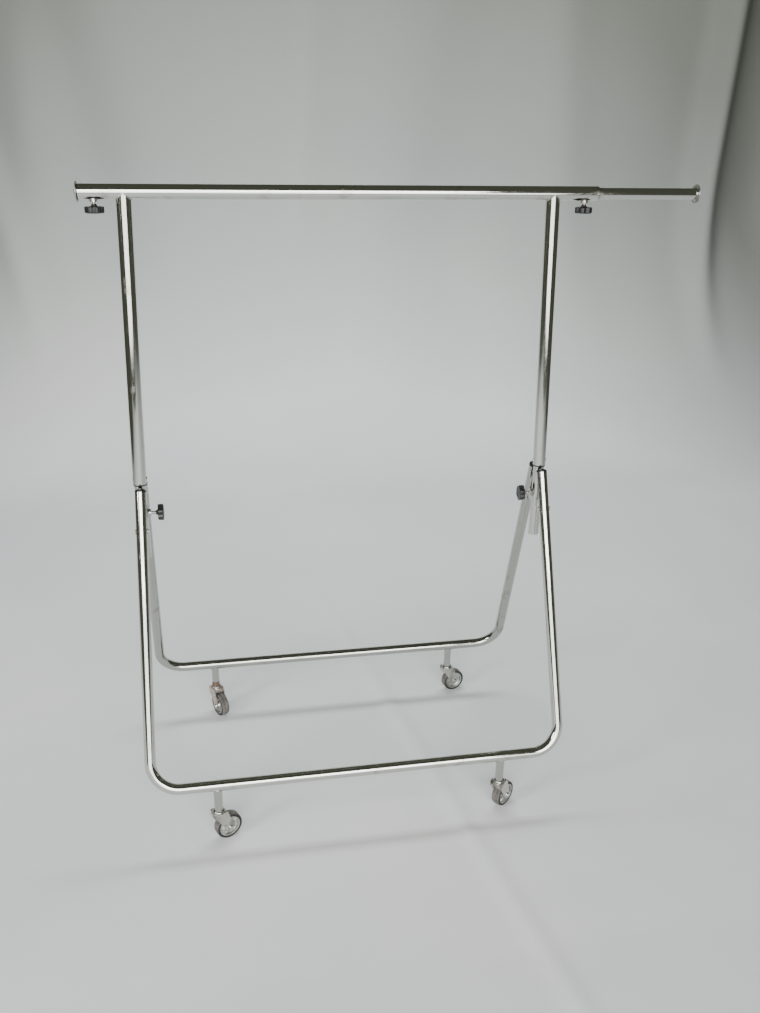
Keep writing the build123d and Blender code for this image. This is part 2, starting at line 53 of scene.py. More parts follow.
MM = 0.001
SIDES = {"left": -1, "right": 1}
ENDS = {"front": -1, "rear": 1}
CASTERS = [f"{end}_{side}" for end in ENDS for side in SIDES]
RUSTED_CASTER = "rear_left"
CRISP_DEG = 35  # an edge that turns by more than this is drawn crisp


# ---- geometry helpers --------------------------------------------------------------------------
def mesh_object(name, verts, faces, sharp_deg=CRISP_DEG):
    """A smooth-shaded mesh whose edges stay crisp above sharp_deg."""
    mesh = bpy.data.meshes.new(name)
    mesh.from_pydata([tuple(v) for v in verts], [], faces)
    mesh.update()
    mesh.polygons.foreach_set("use_smooth", [True] * len(mesh.polygons))
    mesh.set_sharp_from_angle(angle=math.radians(sharp_deg))
    obj = bpy.data.objects.new(name, mesh)
    bpy.context.scene.collection.objects.link(obj)
    return obj


def basis(origin, z_dir, x_hint=(0, 0, 1)):
    """Matrix at origin whose Z is z_dir and whose X leans towards x_hint."""
    z = Vector(z_dir).normalized()
    x = Vector(x_hint) - z * z.dot(Vector(x_hint))
    if x.length < 1e-6:
        x = z.orthogonal()
    x.normalize()
    m = Matrix((x, z.cross(x), z)).transposed().to_4x4()
    m.translation = Vector(origin)
    return m


def lathe(name, profile, place, steps=72, shape=None):
    """Turns (radius, height) points about local Z. shape(angle, r, z) may change the radius."""
    verts, faces = [], []
    count = len(profile)
    for i in range(steps):
        a = 2 * math.pi * i / steps
        for r, z in profile:
            rr = shape(a, r, z) if shape else r
            verts.append((rr * math.cos(a), rr * math.sin(a), z))
    for i in range(steps):
        j = (i + 1) % steps
        for k in range(count - 1):
            a, b = i * count + k, i * count + k + 1
            c, d = j * count + k + 1, j * count + k
            faces.append((a, d, c, b))
    obj = mesh_object(name, verts, faces)
    weld_double_points(obj)
    obj.matrix_world = place
    return obj


def weld_double_points(obj):
    """Merges the points that fall together on a turned shape's axis or seam."""
    bm = bmesh.new()
    bm.from_mesh(obj.data)
    bmesh.ops.remove_doubles(bm, verts=bm.verts, dist=1e-6)
    bmesh.ops.recalc_face_normals(bm, faces=bm.faces)
    bm.to_mesh(obj.data)
    bm.free()
    obj.data.update()
    obj.data.set_sharp_from_angle(angle=math.radians(CRISP_DEG))


def round_corners(profile, radius, steps=4, keep=()):
    """Rounds the corners of an open profile, but for its ends and the points in keep."""
    out = [profile[0]]
    for i in range(1, len(profile) - 1):
        p, a, b = (Vector(profile[k]) for k in (i, i - 1, i + 1))
        if i in keep:
            out.append(tuple(p))
            continue
        cut = min(radius, (a - p).length * 0.45, (b - p).length * 0.45)
        start, end = p + (a - p).normalized() * cut, p + (b - p).normalized() * cut
        for s in range(steps + 1):
            t = s / steps
            out.append(tuple(start * (1 - t) ** 2 + p * 2 * t * (1 - t) + end * t * t))
    out.append(profile[-1])
    return out


def bead(name, points, radius, sides=10):
    """A weld bead along a closed loop of points, with the ripples a welder leaves."""
    ripple, ripple_step, uneven = 0.12, 1.55, 0.06
    verts, faces = [], []
    count = len(points)
    for i, p in enumerate(points):
        along = (Vector(points[(i + 1) % count]) - Vector(points[i - 1])).normalized()
        m = basis(p, along)
        wave = 1 + ripple * math.sin(i * ripple_step) + random.uniform(-uneven, uneven)
        for k in range(sides):
            a = 2 * math.pi * k / sides
            offset = Vector((math.cos(a), math.sin(a), 0)) * radius * wave
            verts.append(m @ offset)
    for i in range(count):
        j = (i + 1) % count
        for k in range(sides):
            n = (k + 1) % sides
            faces.append((i * sides + k, i * sides + n, j * sides + n, j * sides + k))
    obj = mesh_object(name, verts, faces)
    weld_double_points(obj)
    return obj


# ---- materials ---------------------------------------------------------------------------------
def ramp(tree, source, low, high, low_out, high_out):
    node = tree.nodes.new("ShaderNodeMapRange")
    node.inputs["From Min"].default_value = low
    node.inputs["From Max"].default_value = high
    node.inputs["To Min"].default_value = low_out
    node.inputs["To Max"].default_value = high_out
    tree.links.new(source, node.inputs["Value"])
    return node.outputs["Result"]


def noise(tree, coords, scale, detail=4.0, stretch=None):
    if stretch:
        mapping = tree.nodes.new("ShaderNodeMapping")
        mapping.inputs["Scale"].default_value = stretch
        tree.links.new(coords, mapping.inputs["Vector"])
        coords = mapping.outputs["Vector"]
    node = tree.nodes.new("ShaderNodeTexNoise")
    node.inputs["Scale"].default_value = scale
    node.inputs["Detail"].default_value = detail
    tree.links.new(coords, node.inputs["Vector"])
    return node.outputs["Fac"]


def mix_colour(tree, factor, first, second):
    node = tree.nodes.new("ShaderNodeMix")
    node.data_type = "RGBA"
    tree.links.new(factor, node.inputs["Factor"])
    for socket, value in (("A", first), ("B", second)):
        target = [s for s in node.inputs if s.name == socket and s.type == "RGBA"][0]
        if isinstance(value, tuple):
            target.default_value = (*value, 1.0)
        else:
            tree.links.new(value, target)
    return [s for s in node.outputs if s.type == "RGBA"][0]


def bump(tree, height, strength, distance, below=None):
    node = tree.nodes.new("ShaderNodeBump")
    node.inputs["Strength"].default_value = strength
    node.inputs["Distance"].default_value = distance
    tree.links.new(height, node.inputs["Height"])
    if below:
        tree.links.new(below, node.inputs["Normal"])
    return node.outputs["Normal"]


def start_material(name, metallic):
    material = bpy.data.materials.new(name)
    material.use_nodes = True
    tree = material.node_tree
    shader = tree.nodes["Principled BSDF"]
    shader.inputs["Metallic"].default_value = metallic
    coords = tree.nodes.new("ShaderNodeTexCoord").outputs["Object"]
    return material, tree, shader, coords


def metal(name, colour, stain, rough, stained_rough, stain_from=0.58, scratch=0.10, grain=0.02):
    """Plated or bare metal: clean colour, cloudy stains, hairline scratches and a faint grain."""
    material, tree, shader, coords = start_material(name, 1.0)
    clouds = ramp(tree, noise(tree, coords, 26, 6), stain_from, stain_from + 0.18, 0.0, 1.0)
    colour_out = mix_colour(tree, clouds, colour, stain)
    tree.links.new(colour_out, shader.inputs["Base Color"])
    smears = noise(tree, coords, 9, 5, (1.0, 1.0, 0.35))
    base_rough = ramp(tree, smears, 0.3, 0.7, rough * 0.8, rough * 1.3)
    scratches = ramp(tree, noise(tree, coords, 900, 2, (1.0, 1.0, 0.03)), 0.62, 0.7, 0.0, 1.0)
    added = tree.nodes.new("ShaderNodeMath")
    added.operation = "MULTIPLY_ADD"
    added.inputs[1].default_value = stained_rough - rough
    tree.links.new(clouds, added.inputs[0])
    tree.links.new(base_rough, added.inputs[2])
    rough_out = tree.nodes.new("ShaderNodeMath")
    rough_out.operation = "MULTIPLY_ADD"
    rough_out.inputs[1].default_value = scratch
    tree.links.new(scratches, rough_out.inputs[0])
    tree.links.new(added.outputs[0], rough_out.inputs[2])
    tree.links.new(rough_out.outputs[0], shader.inputs["Roughness"])
    waves = bump(tree, noise(tree, coords, 30, 2), 0.05, 0.0006)
    fine = bump(tree, noise(tree, coords, 1400, 3), grain * 4, 0.0001, waves)
    tree.links.new(fine, shader.inputs["Normal"])
    return material


def moulded(name, colour, dust, rough, dust_from, grain=0.3):
    """Plastic or rubber: fine moulded grain, dull patches and a little settled dust."""
    material, tree, shader, coords = start_material(name, 0.0)
    patches = ramp(tree, noise(tree, coords, 60, 6), dust_from, dust_from + 0.2, 0.0, 0.55)
    tree.links.new(mix_colour(tree, patches, colour, dust), shader.inputs["Base Color"])
    handled = noise(tree, coords, 35, 4)
    rough_out = ramp(tree, handled, 0.3, 0.7, rough * 0.8, rough * 1.25)
    tree.links.new(rough_out, shader.inputs["Roughness"])
    dents = bump(tree, noise(tree, coords, 110, 3), 0.10, 0.0004)
    fine = bump(tree, noise(tree, coords, 1800, 2), grain, 0.00012, dents)
    tree.links.new(fine, shader.inputs["Normal"])
    return material


def rusty(name, colour, rust, rust_from, rough):
    """Plating that has begun to rust through in freckles."""
    material, tree, shader, coords = start_material(name, 1.0)
    freckles = ramp(tree, noise(tree, coords, 140, 8), rust_from, rust_from + 0.14, 0.0, 1.0)
    tree.links.new(mix_colour(tree, freckles, colour, rust), shader.inputs["Base Color"])
    tree.links.new(ramp(tree, freckles, 0, 1, rough, 0.75), shader.inputs["Roughness"])
    tree.links.new(ramp(tree, freckles, 0, 1, 1.0, 0.25), shader.inputs["Metallic"])
    tree.links.new(bump(tree, freckles, 0.4, 0.0003), shader.inputs["Normal"])
    return material


CHROME = metal("chrome_tube", (0.60, 0.60, 0.57), (0.44, 0.42, 0.36), 0.085, 0.26)
PLATED = metal("plated_steel", (0.62, 0.62, 0.60), (0.36, 0.34, 0.29), 0.20, 0.42, 0.5, 0.12)
PRESSED = metal("caster_plating", (0.56, 0.55, 0.51), (0.27, 0.255, 0.22), 0.24, 0.5, 0.47, 0.1, 0.05)
# painted shade: a darker, rougher copy of the tube chrome, standing in for the darker reflections on the rear leg
# frame and the caster sockets
SHADED_CHROME = metal("shaded_chrome", (0.46, 0.46, 0.43), (0.30, 0.29, 0.25), 0.13, 0.30)
HUB = metal("hub_metal", (0.60, 0.60, 0.58), (0.30, 0.29, 0.27), 0.36, 0.55, 0.5, 0.12, 0.06)
DISC = metal("end_disc_steel", (0.42, 0.43, 0.39), (0.22, 0.22, 0.19), 0.34, 0.6, 0.48, 0.1, 0.05)
WELD = metal("weld_metal", (0.56, 0.55, 0.51), (0.26, 0.24, 0.20), 0.26, 0.5, 0.45, 0.05, 0.09)
RUSTED = rusty("rusted_plating", (0.58, 0.53, 0.49), (0.34, 0.235, 0.19), 0.50, 0.34)
RUST_RING = rusty("rust_ring", (0.30, 0.22, 0.19), (0.15, 0.085, 0.065), 0.40, 0.5)
PLASTIC = moulded("black_plastic", (0.012, 0.012, 0.013), (0.06, 0.06, 0.055), 0.36, 0.6)
TREAD = moulded("worn_tread", (0.10, 0.092, 0.085), (0.23, 0.21, 0.19), 0.62, 0.42, 0.6)
TYRE = moulded("black_tyre", (0.016, 0.016, 0.017), (0.11, 0.10, 0.09), 0.55, 0.52, 0.5)

SLOT_MATERIAL = {
    "chrome_tube": CHROME,
    "plated_hardware": PLATED,
    "black_plastic": PLASTIC,
    "end_disc_metal": DISC,
    "caster_fork_metal": PRESSED,
    "hub_metal": HUB,
    "black_tyre": TYRE,
}


def finish(obj, material):
    """Gives a piece its material."""
    obj.data.materials.clear()
    obj.data.materials.append(material)
    return obj


# ---- the carried-over parts --------------------------------------------------------------------
# parts that get the darker copy of the tube chrome as painted shade
SHADED_CHROME_NODES = {"rear_leg_frame", "front_caster_sockets", "rear_caster_sockets"}

for entry in frame["record"]["subparts"]:
    part = nodes[entry["node"]]
    part.data.polygons.foreach_set("use_smooth", [True] * len(part.data.polygons))
    part.data.set_sharp_from_angle(angle=math.radians(40))
    part.data.materials.clear()
    in_shade = entry["node"] in SHADED_CHROME_NODES
    part.data.materials.append(SHADED_CHROME if in_shade else SLOT_MATERIAL[entry["material_slot"]])


def body_of(node):
    groups = frame["record"]["behaviour"]["bodies"]
    return next(body for body, members in groups.items() if node in members)


def settle(obj):
    """Moves an object's placing into its mesh, so that its box is the box of its own points."""
    obj.data.transform(obj.matrix_world)
    obj.matrix_world = Matrix.Identity(4)


def stand_for(obj, node, material):
    """A piece that takes the place of a CAD node and moves with it."""
    settle(obj)
    finish(obj, material)
    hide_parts(node)
    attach(obj, body_of(node))
    return obj


def add_to(obj, node, material):
    """A piece that is added beside a CAD node and moves with it."""
    settle(obj)
    finish(obj, material)
    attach(obj, body_of(node))
    return obj


def middle(node):
    lo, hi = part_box(node)
    return (lo + hi) / 2


def joint(name):
    return next(j for j in frame["joints"] if j["name"] == name)


# ---- clamp knobs -------------------------------------------------------------------------------
LOBES = 6
LOBE_DEPTH = 3.4 * MM
KNOB_R = 20.5 * MM
KNOB_ROUND_R = 9 * MM  # nearer to its middle the knob has no lobes


def knob_shape(angle, r, z):
    """Rounded lobes that fade out towards the middle of the knob."""
    reach = max(0.0, (r - KNOB_ROUND_R) / (KNOB_R - KNOB_ROUND_R))
    valley = 0.5 - 0.5 * math.cos(LOBES * angle)
    return r - LOBE_DEPTH * reach * valley**1.6


def make_knob(tube, side):
    """A lobed knob: flared neck, rounded rim and a dished face with a small boss."""
    node = f"{tube}_knob_{side}"
    away = Vector(joint(f"{side}_{tube}_screw_turn")["axis"])
    lo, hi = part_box(node)
    half = max(abs(away.x) * (hi.x - lo.x), abs(away.z) * (hi.z - lo.z)) / 2
    foot = middle(node) - away * half
    depth = 2 * half
    rim = KNOB_R - 0.05 * MM
    profile = [
        (4.1 * MM, 0.2 * MM),
        (5.0 * MM, 0.1 * MM),
        (5.3 * MM, 0.7 * MM),
        (5.9 * MM, 2.4 * MM),
        (7.3 * MM, 4.2 * MM),
        (9.2 * MM, 5.1 * MM),
        (17.9 * MM, 5.3 * MM),
        (rim - 0.5 * MM, 5.6 * MM),
        (rim, 6.4 * MM),
        (rim, depth - 2.4 * MM),
        (rim - 0.8 * MM, depth - 1.0 * MM),
        (rim - 2.4 * MM, depth - 0.3 * MM),
        (14.2 * MM, depth - 0.1 * MM),
        (12.6 * MM, depth - 0.15 * MM),
        (11.9 * MM, depth - 0.9 * MM),
        (9.5 * MM, depth - 1.25 * MM),
        (6.4 * MM, depth - 1.0 * MM),
        (5.8 * MM, depth - 0.2 * MM),
        (3.0 * MM, depth - 0.1 * MM),
        (0.0, depth - 0.05 * MM),
    ]
    hint = (1, 0, 0) if abs(away.z) > 0.5 else (0, 0, 1)
    knob = lathe(f"visual_{node}", round_corners(profile, 0.7 * MM, 3), basis(foot, away, hint),
                 144, knob_shape)
    stand_for(knob, node, PLASTIC)


# ---- threaded clamp studs ----------------------------------------------------------------------
THREAD_PITCH = 1.25 * MM
THREAD_CREST_R = 3.99 * MM
THREAD_ROOT_R = 3.45 * MM


def make_stud(tube, side):
    """An M8 stud with its thread as rings, a chamfered start and a flat tip."""
    node = f"{tube}_stud_{side}"
    lo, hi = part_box(node)
    size = hi - lo
    along = Vector((1, 0, 0)) if size.x > size.z else Vector((0, 0, 1))
    length = max(size.x, size.z)
    profile = [(0.0, 0.0), (3.0 * MM, 0.0), (3.6 * MM, 0.6 * MM)]
    turns = int((length - 1.4 * MM) / THREAD_PITCH)
    for i in range(turns):
        z = 0.7 * MM + i * THREAD_PITCH
        profile += [
            (THREAD_CREST_R, z + 0.15 * MM),
            (THREAD_CREST_R, z + 0.35 * MM),
            (THREAD_ROOT_R, z + 0.75 * MM),
            (THREAD_ROOT_R, z + 0.95 * MM),
        ]
    profile += [(3.2 * MM, length - 0.1 * MM), (0.0, length)]
    stud = lathe(f"visual_{node}", profile, basis(middle(node) - along * length / 2, along), 40)
    stand_for(stud, node, PLATED)


# ---- end discs and cap nuts --------------------------------------------------------------------
DISC_THICKNESS = 3 * MM
CAP_HEIGHT = 4.5 * MM
CAP_DOME_STEPS = 12


def make_end_disc(side, sign):
    """A pressed disc with a raised ring, a rolled edge and a spigot that fits the tube."""
    node = f"end_disc_{side}"
    lo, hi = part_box(node)
    centre = middle(node)
    spigot_end = -(hi.x - lo.x)
    r = (hi.z - lo.z) / 2
    profile = [
        (3.1 * MM, -1.3 * MM),
        (7.0 * MM, -1.25 * MM),
        (10.5 * MM, -0.9 * MM),
        (13.0 * MM, -0.2 * MM),
        (16.5 * MM, -0.05 * MM),
        (19.8 * MM, -0.3 * MM),
        (r - 0.4 * MM, -0.9 * MM),
        (r, -1.7 * MM),
        (r - 0.3 * MM, -2.6 * MM),
        (r - 1.3 * MM, -2.95 * MM),
        (r - 2.2 * MM, -2.6 * MM),
        (r - 3.4 * MM, -2.2 * MM),
        (13.0 * MM, -2.95 * MM),
        (11.4 * MM, -DISC_THICKNESS),
        (11.4 * MM, spigot_end),
        (3.1 * MM, spigot_end),
    ]
    outer_x = hi.x if sign > 0 else lo.x
    place = basis((outer_x, centre.y, centre.z), (sign, 0, 0))
    disc = lathe(f"visual_{node}", round_corners(profile, 0.5 * MM, 3), place, 96)
    stand_for(disc, node, DISC)


def make_cap_nut(side, sign):
    """The domed cap and shank that hold an end disc."""
    node = f"end_screw_{side}"
    lo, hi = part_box(node)
    centre = middle(f"end_disc_{side}")
    shank_end = -(hi.x - lo.x)
    profile = [(0.0, 0.0)]
    for i in range(1, CAP_DOME_STEPS + 1):
        a = math.pi / 2 * i / CAP_DOME_STEPS
        profile.append((5.7 * MM * math.sin(a), -CAP_HEIGHT * (1 - math.cos(a)) * 0.82))
    profile += [
        (5.95 * MM, -CAP_HEIGHT * 0.86),
        (6.0 * MM, -CAP_HEIGHT + 0.1 * MM),
        (5.9 * MM, -CAP_HEIGHT),
        (3.0 * MM, -CAP_HEIGHT),
        (3.0 * MM, shank_end),
        (0.0, shank_end),
    ]
    outer_x = hi.x if sign > 0 else lo.x
    place = basis((outer_x, centre.y, centre.z), (sign, 0, 0))
    stand_for(lathe(f"visual_{node}", profile, place, 64), node, PLATED)


# ---- casters -----------------------------------------------------------------------------------
WHEEL_R = 34 * MM
HUB_R = 27 * MM
TREAD_DEPTH = 1.4 * MM
HUB_RIBS = 8
RACE_R = 15.6 * MM
RACE_BEAD_R = 1.25 * MM
RACE_HEIGHT = 83.9 * MM
CAP_BASE = 86 * MM


def caster_axes(name):
    """Places of the wheel, with its axle as Z, and of the swivel axis at floor level."""
    spin, swivel = joint(f"{name}_wheel_spin"), joint(f"{name}_swivel")
    wheel_at, post_at = Vector(spin["pos_m"]), Vector(swivel["pos_m"])
    trail = wheel_at - post_at
    trail.z = 0
    wheel = basis(wheel_at, spin["axis"], trail)
    stand = basis((post_at.x, post_at.y, 0), (0, 0, 1), trail)
    return wheel, stand


def mirrored(profile):
    """A wheel's half profile, from its middle outwards, completed on the other side."""
    return [(r, -z) for r, z in reversed(profile)] + profile


def make_tyre(name, wheel):
    """A tyre with a parting line round its tread, rounded shoulders and a groove at its bead."""
    half_tyre = [
        (WHEEL_R, 0.0),
        (WHEEL_R, 0.35 * MM),
        (WHEEL_R - 0.25 * MM, 0.5 * MM),
        (WHEEL_R - 0.05 * MM, 0.8 * MM),
        (WHEEL_R - 0.1 * MM, 7.6 * MM),
        (WHEEL_R - 0.5 * MM, 9.3 * MM),
        (WHEEL_R - 1.3 * MM, 10.7 * MM),
        (WHEEL_R - 2.6 * MM, 11.7 * MM),
        (WHEEL_R - 3.6 * MM, 12.0 * MM),
        (WHEEL_R - 4.4 * MM, 11.9 * MM),
        (WHEEL_R - 4.7 * MM, 11.5 * MM),
        (WHEEL_R - 5.2 * MM, 11.5 * MM),
        (WHEEL_R - 5.5 * MM, 11.9 * MM),
        (HUB_R + 0.2 * MM, 11.7 * MM),
        (HUB_R, 11.2 * MM),
    ]
    profile = mirrored(half_tyre)
    profile.append(profile[0])
    tyre = lathe(f"visual_{name}_tyre", profile, wheel, 120)
    tread_faces = [
        face.index for face in tyre.data.polygons
        if min(tyre.data.vertices[v].co.xy.length for v in face.vertices) > WHEEL_R - TREAD_DEPTH
    ]
    stand_for(tyre, f"{name}_wheel_tyre", TYRE)
    tyre.data.materials.append(TREAD)
    for index in tread_faces:
        tyre.data.polygons[index].material_index = 1


def make_hub(name, wheel):
    """A die-cast hub: rim, thin web with a raised ring, and a boss with its bore."""
    half_hub = [
        (HUB_R, 0.0),
        (HUB_R, 10.6 * MM),
        (HUB_R - 0.4 * MM, 11.0 * MM),
        (HUB_R - 2.6 * MM, 11.0 * MM),
        (HUB_R - 3.2 * MM, 10.5 * MM),
        (HUB_R - 4.0 * MM, 5.6 * MM),
        (HUB_R - 5.4 * MM, 4.3 * MM),
        (19.0 * MM, 4.0 * MM),
        (18.4 * MM, 4.7 * MM),
        (17.2 * MM, 4.7 * MM),
        (16.6 * MM, 4.0 * MM),
        (13.4 * MM, 4.1 * MM),
        (12.0 * MM, 5.4 * MM),
        (11.0 * MM, 11.4 * MM),
        (10.2 * MM, 12.6 * MM),
        (4.9 * MM, 12.7 * MM),
        (4.07 * MM, 12.2 * MM),
        (4.07 * MM, 0.0),
    ]
    hub = lathe(f"visual_{name}_hub", mirrored(half_hub), wheel, 96)
    stand_for(hub, f"{name}_wheel_hub", HUB)


def make_hub_ribs(name, wheel):
    """Tapered ribs between boss and rim, on both faces of the hub."""
    web = 3.6 * MM
    verts, faces = [], []
    for face in (-1, 1):
        for k in range(HUB_RIBS):
            a = 2 * math.pi * (k + 0.5) / HUB_RIBS
            out = Vector((math.cos(a), math.sin(a), 0))
            across = Vector((-math.sin(a), math.cos(a), 0))
            start = len(verts)
            for r, top in ((11.2 * MM, 8.6 * MM), (23.4 * MM, 7.4 * MM)):
                for w, z in ((-1.1 * MM, web), (-0.7 * MM, top), (0.7 * MM, top), (1.1 * MM, web)):
                    verts.append(wheel @ (out * r + across * w + Vector((0, 0, face * z))))
            for q in range(3):
                faces.append((start + q, start + q + 1, start + q + 5, start + q + 4))
    ribs = mesh_object(f"visual_{name}_hub_ribs", verts, faces, 30)
    add_to(ribs, f"{name}_wheel_hub", HUB)


def make_race(name, stand, plating):
    """The rolled bead round the top of the fork's crown."""
    ring = []
    for i in range(13):
        a = 2 * math.pi * i / 12
        ring.append((RACE_R + RACE_BEAD_R * math.cos(a), RACE_HEIGHT + RACE_BEAD_R * math.sin(a)))
    race = lathe(f"visual_{name}_race", ring, stand, 72)
    add_to(race, f"{name}_caster_fork", plating)
    nodes[f"{name}_caster_fork"].data.materials[0] = plating


def make_stem(name, stand, plating):
    """The stem with its riveted head below and its domed race cap above the crown."""
    lo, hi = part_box(f"{name}_caster_stem")
    profile = [
        (0.0, lo.z),
        (7.6 * MM, lo.z),
        (9.0 * MM, lo.z + 1.2 * MM),
        (9.0 * MM, lo.z + 2.9 * MM),
        (5.5 * MM, lo.z + 3.0 * MM),
        (5.5 * MM, CAP_BASE),
        (14.6 * MM, CAP_BASE),
        (15.0 * MM, CAP_BASE + 0.5 * MM),
        (14.7 * MM, CAP_BASE + 1.6 * MM),
        (13.9 * MM, CAP_BASE + 2.7 * MM),
        (12.2 * MM, CAP_BASE + 3.8 * MM),
        (10.3 * MM, CAP_BASE + 4.7 * MM),
        (9.4 * MM, CAP_BASE + 5.0 * MM),
        (5.5 * MM, CAP_BASE + 5.0 * MM),
        (5.5 * MM, hi.z),
        (0.0, hi.z),
    ]
    stem = lathe(f"visual_{name}_stem", profile, stand, 72)
    stand_for(stem, f"{name}_caster_stem", plating)


def make_rust_ring(name):
    """Rust that has crept up a caster's socket."""
    _, stand = caster_axes(name)
    ring = [
        (10.52 * MM, 91.2 * MM),
        (10.75 * MM, 92.5 * MM),
        (10.9 * MM, 97 * MM),
        (10.72 * MM, 103 * MM),
        (10.51 * MM, 105.5 * MM),
    ]
    creep = lathe(f"visual_{name}_rust", ring, stand, 72)
    add_to(creep, f"{name.split('_')[0]}_caster_sockets", RUST_RING)


for tube in ("rail", "post"):
    for side in SIDES:
        make_knob(tube, side)
for tube in ("rail", "post"):
    for side in SIDES:
        make_stud(tube, side)
for side, sign in SIDES.items():
    make_end_disc(side, sign)
    make_cap_nut(side, sign)
for name in CASTERS:
    wheel, stand = caster_axes(name)
    rusted = name == RUSTED_CASTER
    make_tyre(name, wheel)
    make_hub(name, wheel)
    make_hub_ribs(name, wheel)
    make_race(name, stand, RUSTED if rusted else PRESSED)
    make_stem(name, stand, RUSTED if rusted else PLATED)
make_rust_ring(RUSTED_CASTER)


# ---- weld beads --------------------------------------------------------------------------------
HALF_POST_SPACING = 0.5
HALF_UPRIGHT_SPACING = 0.479
LEG_R = 13.5 * MM
SOCKET_R = 10.5 * MM
RAIL_NUT_R = 8 * MM
POST_NUT_R = 9 * MM
BEAD_STAND_OFF = 0.1 * MM  # how far a bead's middle stands outside the corner it fills
RAIL_STAND_OFF = 0.4 * MM  # more under the rail, so that no bead comes through its wall
LUG_HALF_WIDTH = 5.3 * MM
LUG_STAND_OFF = 0.3 * MM


def tube_meets_tube(foot, axis, r, other_point, other_axis, other_r, steps=96):
    """Points where a tube's skin meets another tube, seen from foot along axis."""
    axis, other_axis = Vector(axis).normalized(), Vector(other_axis).normalized()
    m = basis(foot, axis, other_axis)
    points = []
    for i in range(steps):
        a = 2 * math.pi * i / steps
        start = m @ Vector((r * math.cos(a), r * math.sin(a), 0))
        w = start - Vector(other_point)
        w -= other_axis * w.dot(other_axis)
        d = axis - other_axis * axis.dot(other_axis)
        qa, qb, qc = d.dot(d), 2 * w.dot(d), w.dot(w) - other_r**2
        root = max(0.0, qb * qb - 4 * qa * qc)
        points.append(start + axis * ((-qb - math.sqrt(root)) / (2 * qa)))
    return points


def around_lug(centre, half_width, half_height, end, post_r, steps=56):
    """Points round the square foot of a lug on the post's skin."""
    corners = [(-1, -1), (1, -1), (1, 1), (-1, 1), (-1, -1)]
    points = []
    for i in range(steps):
        t = i / steps * 4
        k, f = int(t), t - int(t)
        u = corners[k][0] + (corners[k + 1][0] - corners[k][0]) * f
        v = corners[k][1] + (corners[k + 1][1] - corners[k][1]) * f
        x = u * half_width
        y = end * math.sqrt(post_r**2 - x * x)
        points.append(Vector((centre.x + x, y, centre.z + v * half_height)))
    return points


def weld_upright(side, sign, rail_mid, rail_r):
    lo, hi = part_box(f"upright_{side}")
    foot = Vector((sign * HALF_POST_SPACING, 0, lo.z))
    head = Vector((sign * HALF_UPRIGHT_SPACING, 0, rail_mid.z))
    loop = tube_meets_tube(foot, head - foot, (hi.y - lo.y) / 2, rail_mid, (1, 0, 0),
                           rail_r + RAIL_STAND_OFF)
    seam = bead(f"visual_upright_weld_{side}", loop, 1.25 * MM)
    add_to(seam, f"upright_{side}", WELD)


def weld_rail_nut(side, rail_mid, rail_r):
    below = Vector((middle(f"rail_stud_{side}").x, 0, rail_mid.z - rail_r - 10 * MM))
    loop = tube_meets_tube(below, (0, 0, 1), RAIL_NUT_R + BEAD_STAND_OFF, rail_mid, (1, 0, 0), rail_r, 48)
    seam = bead(f"visual_rail_nut_weld_{side}", loop, 0.9 * MM)
    add_to(seam, "rail_nuts", WELD)


def weld_post_nut(side, sign, post_r):
    inboard = (0, 0, middle(f"post_stud_{side}").z)
    loop = tube_meets_tube(inboard, (sign, 0, 0), POST_NUT_R + BEAD_STAND_OFF,
                           middle(f"post_{side}"), (0, 0, 1), post_r, 48)
    seam = bead(f"visual_post_nut_weld_{side}", loop, 1.0 * MM)
    add_to(seam, "post_nuts", WELD)


def weld_lug(side, end_name, end, post_r):
    lo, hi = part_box(f"hinge_lugs_{side}")
    half_height = (hi.z - lo.z) / 2 + LUG_STAND_OFF
    loop = around_lug(middle(f"hinge_lugs_{side}"), LUG_HALF_WIDTH, half_height, end, post_r)
    seam = bead(f"visual_{end_name}_lug_weld_{side}", loop, 1.0 * MM)
    add_to(seam, f"hinge_lugs_{side}", WELD)


def weld_socket(end_name, side):
    swivel = Vector(joint(f"{end_name}_{side}_swivel")["pos_m"])
    leg_lo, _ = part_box(f"{end_name}_leg_frame")
    foot_rail = (0, swivel.y, leg_lo.z + LEG_R)
    below = (swivel.x, swivel.y, 0.1)
    loop = tube_meets_tube(below, (0, 0, 1), SOCKET_R + BEAD_STAND_OFF, foot_rail, (1, 0, 0), LEG_R, 64)
    seam = bead(f"visual_{end_name}_socket_weld_{side}", loop, 1.2 * MM)
    add_to(seam, f"{end_name}_caster_sockets", WELD)


def make_welds():
    rail_mid = middle("hang_rail")
    rail_lo, rail_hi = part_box("hang_rail")
    rail_r = (rail_hi.z - rail_lo.z) / 2
    for side, sign in SIDES.items():
        post_lo, post_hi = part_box(f"post_{side}")
        post_r = (post_hi.y - post_lo.y) / 2
        weld_upright(side, sign, rail_mid, rail_r)
        weld_rail_nut(side, rail_mid, rail_r)
        weld_post_nut(side, sign, post_r)
        for end_name, end in ENDS.items():
            weld_lug(side, end_name, end, post_r)
    for end_name in ENDS:
        for side in SIDES:
            weld_socket(end_name, side)


make_welds()


# ---- cloth floor and backdrop ------------------------------------------------------------------
def smooth_step(t):
    t = min(1.0, max(0.0, t))
    return t * t * (3 - 2 * t)


